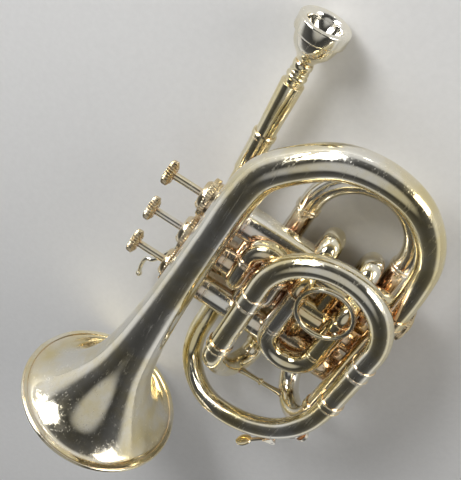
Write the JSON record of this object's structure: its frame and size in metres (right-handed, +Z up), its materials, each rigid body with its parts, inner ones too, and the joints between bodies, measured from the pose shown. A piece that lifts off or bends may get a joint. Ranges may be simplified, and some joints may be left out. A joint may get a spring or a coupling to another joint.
{
  "type": "pocket trumpet",
  "caption": "Pocket trumpet with tightly wrapped tubing, piston valves, a flared bell, drawn slides, a water key, a finger hook and a cup mouthpiece.",
  "frame": {"origin": "on the middle valve's axis, half way up the casings, where the left hand holds the instrument", "axes": "+X out of the bell, +Y to the player's left, +Z up along the valve stems to the finger buttons"},
  "size_m": [0.2791, 0.1027, 0.1718],
  "materials": {
    "silver_plate": "silver plated, polished, slightly tarnished",
    "steel": "drawn wire",
    "pearl": "polished pearl inlay",
    "cork": "plain cork"
  },
  "bodies": {
    "body": {"bell": "silver_plate", "bell_sleeve": "silver_plate", "bell_bow": "silver_plate", "low_leg": "silver_plate", "bow_ferrule": "silver_plate", "low_bow": "silver_plate", "low_return_tube": "silver_plate", "high_return_tube": "silver_plate", "high_bow": "silver_plate", "leadpipe": "silver_plate", "front_bow": "silver_plate", "lead_ferrule": "silver_plate", "receiver": "silver_plate", "casing_1": "silver_plate", "casing_2": "silver_plate", "casing_3": "silver_plate", "top_cap_1": "silver_plate", "top_cap_2": "silver_plate", "top_cap_3": "silver_plate", "bottom_cap_1": "silver_plate", "bottom_cap_2": "silver_plate", "bottom_cap_3": "silver_plate", "valve_spring_1": "steel", "valve_spring_2": "steel", "valve_spring_3": "steel", "knuckle_high_12": "silver_plate", "knuckle_high_23": "silver_plate", "knuckle_low_12": "silver_plate", "knuckle_low_23": "silver_plate", "tuning_sleeve_high": "silver_plate", "tuning_sleeve_low": "silver_plate", "first_leg_high": "silver_plate", "first_leg_low": "silver_plate", "second_sleeve_high": "silver_plate", "second_sleeve_low": "silver_plate", "third_sleeve_high": "silver_plate", "third_sleeve_low": "silver_plate", "finger_hook": "silver_plate", "bell_brace": "silver_plate", "lead_brace": "silver_plate", "front_stay": "silver_plate", "key_saddle": "silver_plate", "key_pin": "steel"},
    "valve_1": {"piston_1": "silver_plate", "button_1": "silver_plate", "button_pearl_1": "pearl"},
    "valve_2": {"piston_2": "silver_plate", "button_2": "silver_plate", "button_pearl_2": "pearl"},
    "valve_3": {"piston_3": "silver_plate", "button_3": "silver_plate", "button_pearl_3": "pearl"},
    "tuning_slide": {"tuning_slide": "silver_plate"},
    "first_valve_slide": {"first_slide": "silver_plate", "finger_ring": "silver_plate"},
    "second_valve_slide": {"second_slide": "silver_plate"},
    "third_valve_slide": {"third_slide": "silver_plate"},
    "mouthpiece": {"mouthpiece": "silver_plate"},
    "water_key": {"key_lever": "silver_plate", "key_cork": "cork"}
  },
  "joints": [
    {"name": "valve_1_press", "type": "slide", "parent": "body", "child": "valve_1", "axis": [0, 0, -1], "range_m": [0, 0.0162], "stiffness_N_per_m": 300, "springref_m": -0.012, "deforming": ["valve_spring_1"]},
    {"name": "valve_2_press", "type": "slide", "parent": "body", "child": "valve_2", "axis": [0, 0, -1], "range_m": [0, 0.0162], "stiffness_N_per_m": 300, "springref_m": -0.012, "deforming": ["valve_spring_2"]},
    {"name": "valve_3_press", "type": "slide", "parent": "body", "child": "valve_3", "axis": [0, 0, -1], "range_m": [0, 0.0162], "stiffness_N_per_m": 300, "springref_m": -0.012, "deforming": ["valve_spring_3"]},
    {"name": "tuning_slide_draw", "type": "slide", "parent": "body", "child": "tuning_slide", "axis": [-1, 0, 0], "range_m": [0, 0.02]},
    {"name": "first_valve_slide_draw", "type": "slide", "parent": "body", "child": "first_valve_slide", "axis": [1, 0, 0], "range_m": [0, 0.015]},
    {"name": "second_valve_slide_draw", "type": "slide", "parent": "body", "child": "second_valve_slide", "axis": [-1, 0, 0], "range_m": [0, 0.008]},
    {"name": "third_valve_slide_draw", "type": "slide", "parent": "body", "child": "third_valve_slide", "axis": [-1, 0, 0], "range_m": [0, 0.02]},
    {"name": "mouthpiece_pull", "type": "slide", "parent": "body", "child": "mouthpiece", "axis": [-0.9997, 0, 0.024], "range_m": [0, 0.022]},
    {"name": "water_key_turn", "type": "hinge", "parent": "body", "child": "water_key", "pos_m": [0.07412, 0.02702, -0.05267], "axis": [-0.2322, -0.9284, 0.2902], "range_deg": [0, 8], "stiffness_Nm_per_rad": 0.02, "springref_deg": -20.05}
  ]
}
